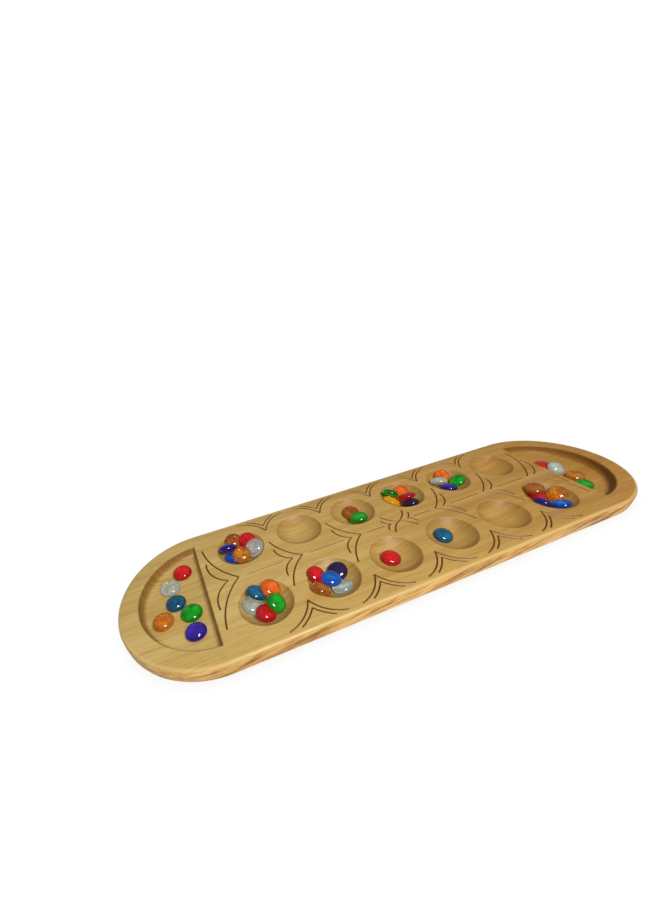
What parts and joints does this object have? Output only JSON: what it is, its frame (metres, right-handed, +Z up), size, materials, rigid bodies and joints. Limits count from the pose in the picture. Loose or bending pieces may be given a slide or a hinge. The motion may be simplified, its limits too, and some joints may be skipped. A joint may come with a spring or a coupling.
{
  "type": "mancala board",
  "caption": "Flat wooden mancala board with round ends, two rows of bowl-shaped pits, a store at each end and carved lines, with loose glass stones lying in it.",
  "frame": {"origin": "centre of the board on its underside", "axes": "+X along the board towards the right store, +Y towards the far row of pits, +Z up out of the pits"},
  "size_m": [0.475, 0.136, 0.0197],
  "materials": {
    "wood": "sanded and thinly oiled, satin",
    "glass_red": "fire-polished, glossy",
    "glass_clear": "fire-polished, glossy",
    "glass_teal": "fire-polished, glossy",
    "glass_green": "fire-polished, glossy",
    "glass_amber": "fire-polished, glossy",
    "glass_orange": "fire-polished, glossy",
    "glass_purple": "fire-polished, glossy",
    "glass_plum": "fire-polished, glossy",
    "glass_blue": "fire-polished, glossy",
    "glass_brown": "fire-polished, glossy",
    "glass_yellow": "fire-polished, glossy"
  },
  "bodies": {
    "board": {"board": "wood"},
    "stone_left_red": {"stone_left_red": "glass_red"},
    "stone_left_clear": {"stone_left_clear": "glass_clear"},
    "stone_left_teal": {"stone_left_teal": "glass_teal"},
    "stone_left_green": {"stone_left_green": "glass_green"},
    "stone_left_amber": {"stone_left_amber": "glass_amber"},
    "stone_left_purple": {"stone_left_purple": "glass_purple"},
    "stone_near1_clear": {"stone_near1_clear": "glass_clear"},
    "stone_near1_red": {"stone_near1_red": "glass_red"},
    "stone_near1_teal": {"stone_near1_teal": "glass_teal"},
    "stone_near1_orange": {"stone_near1_orange": "glass_orange"},
    "stone_near1_green": {"stone_near1_green": "glass_green"},
    "stone_near2_plum": {"stone_near2_plum": "glass_plum"},
    "stone_near2_red": {"stone_near2_red": "glass_red"},
    "stone_near2_clear": {"stone_near2_clear": "glass_clear"},
    "stone_near2_amber": {"stone_near2_amber": "glass_amber"},
    "stone_near2_blue": {"stone_near2_blue": "glass_blue"},
    "stone_near3_red": {"stone_near3_red": "glass_red"},
    "stone_near4_teal": {"stone_near4_teal": "glass_teal"},
    "stone_near6_red": {"stone_near6_red": "glass_red"},
    "stone_near6_amber": {"stone_near6_amber": "glass_amber"},
    "stone_near6_blue": {"stone_near6_blue": "glass_blue"},
    "stone_near6_purple": {"stone_near6_purple": "glass_purple"},
    "stone_near6_brown": {"stone_near6_brown": "glass_brown"},
    "stone_far1_blue": {"stone_far1_blue": "glass_blue"},
    "stone_far1_brown": {"stone_far1_brown": "glass_brown"},
    "stone_far1_red": {"stone_far1_red": "glass_red"},
    "stone_far1_purple": {"stone_far1_purple": "glass_purple"},
    "stone_far1_clear": {"stone_far1_clear": "glass_clear"},
    "stone_far1_amber": {"stone_far1_amber": "glass_amber"},
    "stone_far3_brown": {"stone_far3_brown": "glass_brown"},
    "stone_far3_green": {"stone_far3_green": "glass_green"},
    "stone_far4_orange": {"stone_far4_orange": "glass_orange"},
    "stone_far4_yellow": {"stone_far4_yellow": "glass_yellow"},
    "stone_far4_plum": {"stone_far4_plum": "glass_plum"},
    "stone_far4_green": {"stone_far4_green": "glass_green"},
    "stone_far4_red": {"stone_far4_red": "glass_red"},
    "stone_far5_orange": {"stone_far5_orange": "glass_orange"},
    "stone_far5_purple": {"stone_far5_purple": "glass_purple"},
    "stone_far5_clear": {"stone_far5_clear": "glass_clear"},
    "stone_far5_green": {"stone_far5_green": "glass_green"},
    "stone_right_red": {"stone_right_red": "glass_red"},
    "stone_right_clear": {"stone_right_clear": "glass_clear"},
    "stone_right_amber": {"stone_right_amber": "glass_amber"},
    "stone_right_green": {"stone_right_green": "glass_green"}
  },
  "joints": [
    {"name": "lift_left_red", "type": "slide", "parent": "board", "child": "stone_left_red", "axis": [0, 0, 1], "range_m": [0, 0.03]},
    {"name": "lift_left_clear", "type": "slide", "parent": "board", "child": "stone_left_clear", "axis": [0, 0, 1], "range_m": [0, 0.03]},
    {"name": "lift_left_teal", "type": "slide", "parent": "board", "child": "stone_left_teal", "axis": [0, 0, 1], "range_m": [0, 0.03]},
    {"name": "lift_left_green", "type": "slide", "parent": "board", "child": "stone_left_green", "axis": [0, 0, 1], "range_m": [0, 0.03]},
    {"name": "lift_left_amber", "type": "slide", "parent": "board", "child": "stone_left_amber", "axis": [0, 0, 1], "range_m": [0, 0.03]},
    {"name": "lift_left_purple", "type": "slide", "parent": "board", "child": "stone_left_purple", "axis": [0, 0, 1], "range_m": [0, 0.03]},
    {"name": "lift_near1_clear", "type": "slide", "parent": "board", "child": "stone_near1_clear", "axis": [0, 0, 1], "range_m": [0, 0.03]},
    {"name": "lift_near1_red", "type": "slide", "parent": "stone_near1_clear", "child": "stone_near1_red", "axis": [0, 0, 1], "range_m": [0, 0.03]},
    {"name": "lift_near1_teal", "type": "slide", "parent": "stone_near1_red", "child": "stone_near1_teal", "axis": [0, 0, 1], "range_m": [0, 0.03]},
    {"name": "lift_near1_orange", "type": "slide", "parent": "stone_near1_teal", "child": "stone_near1_orange", "axis": [0, 0, 1], "range_m": [0, 0.03]},
    {"name": "lift_near1_green", "type": "slide", "parent": "stone_near1_orange", "child": "stone_near1_green", "axis": [0, 0, 1], "range_m": [0, 0.03]},
    {"name": "lift_near2_plum", "type": "slide", "parent": "board", "child": "stone_near2_plum", "axis": [0, 0, 1], "range_m": [0, 0.03]},
    {"name": "lift_near2_red", "type": "slide", "parent": "stone_near2_plum", "child": "stone_near2_red", "axis": [0, 0, 1], "range_m": [0, 0.03]},
    {"name": "lift_near2_clear", "type": "slide", "parent": "stone_near2_red", "child": "stone_near2_clear", "axis": [0, 0, 1], "range_m": [0, 0.03]},
    {"name": "lift_near2_amber", "type": "slide", "parent": "stone_near2_clear", "child": "stone_near2_amber", "axis": [0, 0, 1], "range_m": [0, 0.03]},
    {"name": "lift_near2_blue", "type": "slide", "parent": "stone_near2_amber", "child": "stone_near2_blue", "axis": [0, 0, 1], "range_m": [0, 0.03]},
    {"name": "lift_near3_red", "type": "slide", "parent": "board", "child": "stone_near3_red", "axis": [0, 0, 1], "range_m": [0, 0.03]},
    {"name": "lift_near4_teal", "type": "slide", "parent": "board", "child": "stone_near4_teal", "axis": [0, 0, 1], "range_m": [0, 0.03]},
    {"name": "lift_near6_red", "type": "slide", "parent": "board", "child": "stone_near6_red", "axis": [0, 0, 1], "range_m": [0, 0.03]},
    {"name": "lift_near6_amber", "type": "slide", "parent": "board", "child": "stone_near6_amber", "axis": [0, 0, 1], "range_m": [0, 0.03]},
    {"name": "lift_near6_blue", "type": "slide", "parent": "board", "child": "stone_near6_blue", "axis": [0, 0, 1], "range_m": [0, 0.03]},
    {"name": "lift_near6_purple", "type": "slide", "parent": "board", "child": "stone_near6_purple", "axis": [0, 0, 1], "range_m": [0, 0.03]},
    {"name": "lift_near6_brown", "type": "slide", "parent": "stone_near6_red", "child": "stone_near6_brown", "axis": [0, 0, 1], "range_m": [0, 0.03]},
    {"name": "lift_far1_blue", "type": "slide", "parent": "board", "child": "stone_far1_blue", "axis": [0, 0, 1], "range_m": [0, 0.03]},
    {"name": "lift_far1_brown", "type": "slide", "parent": "stone_far1_blue", "child": "stone_far1_brown", "axis": [0, 0, 1], "range_m": [0, 0.03]},
    {"name": "lift_far1_red", "type": "slide", "parent": "stone_far1_brown", "child": "stone_far1_red", "axis": [0, 0, 1], "range_m": [0, 0.03]},
    {"name": "lift_far1_purple", "type": "slide", "parent": "stone_far1_brown", "child": "stone_far1_purple", "axis": [0, 0, 1], "range_m": [0, 0.03]},
    {"name": "lift_far1_clear", "type": "slide", "parent": "stone_far1_red", "child": "stone_far1_clear", "axis": [0, 0, 1], "range_m": [0, 0.03]},
    {"name": "lift_far1_amber", "type": "slide", "parent": "stone_far1_clear", "child": "stone_far1_amber", "axis": [0, 0, 1], "range_m": [0, 0.03]},
    {"name": "lift_far3_brown", "type": "slide", "parent": "board", "child": "stone_far3_brown", "axis": [0, 0, 1], "range_m": [0, 0.03]},
    {"name": "lift_far3_green", "type": "slide", "parent": "stone_far3_brown", "child": "stone_far3_green", "axis": [0, 0, 1], "range_m": [0, 0.03]},
    {"name": "lift_far4_orange", "type": "slide", "parent": "board", "child": "stone_far4_orange", "axis": [0, 0, 1], "range_m": [0, 0.03]},
    {"name": "lift_far4_yellow", "type": "slide", "parent": "stone_far4_orange", "child": "stone_far4_yellow", "axis": [0, 0, 1], "range_m": [0, 0.03]},
    {"name": "lift_far4_plum", "type": "slide", "parent": "stone_far4_yellow", "child": "stone_far4_plum", "axis": [0, 0, 1], "range_m": [0, 0.03]},
    {"name": "lift_far4_green", "type": "slide", "parent": "stone_far4_yellow", "child": "stone_far4_green", "axis": [0, 0, 1], "range_m": [0, 0.03]},
    {"name": "lift_far4_red", "type": "slide", "parent": "stone_far4_plum", "child": "stone_far4_red", "axis": [0, 0, 1], "range_m": [0, 0.03]},
    {"name": "lift_far5_orange", "type": "slide", "parent": "board", "child": "stone_far5_orange", "axis": [0, 0, 1], "range_m": [0, 0.03]},
    {"name": "lift_far5_purple", "type": "slide", "parent": "board", "child": "stone_far5_purple", "axis": [0, 0, 1], "range_m": [0, 0.03]},
    {"name": "lift_far5_clear", "type": "slide", "parent": "stone_far5_purple", "child": "stone_far5_clear", "axis": [0, 0, 1], "range_m": [0, 0.03]},
    {"name": "lift_far5_green", "type": "slide", "parent": "board", "child": "stone_far5_green", "axis": [0, 0, 1], "range_m": [0, 0.03]},
    {"name": "lift_right_red", "type": "slide", "parent": "board", "child": "stone_right_red", "axis": [0, 0, 1], "range_m": [0, 0.03]},
    {"name": "lift_right_clear", "type": "slide", "parent": "stone_right_red", "child": "stone_right_clear", "axis": [0, 0, 1], "range_m": [0, 0.03]},
    {"name": "lift_right_amber", "type": "slide", "parent": "board", "child": "stone_right_amber", "axis": [0, 0, 1], "range_m": [0, 0.03]},
    {"name": "lift_right_green", "type": "slide", "parent": "board", "child": "stone_right_green", "axis": [0, 0, 1], "range_m": [0, 0.03]}
  ]
}
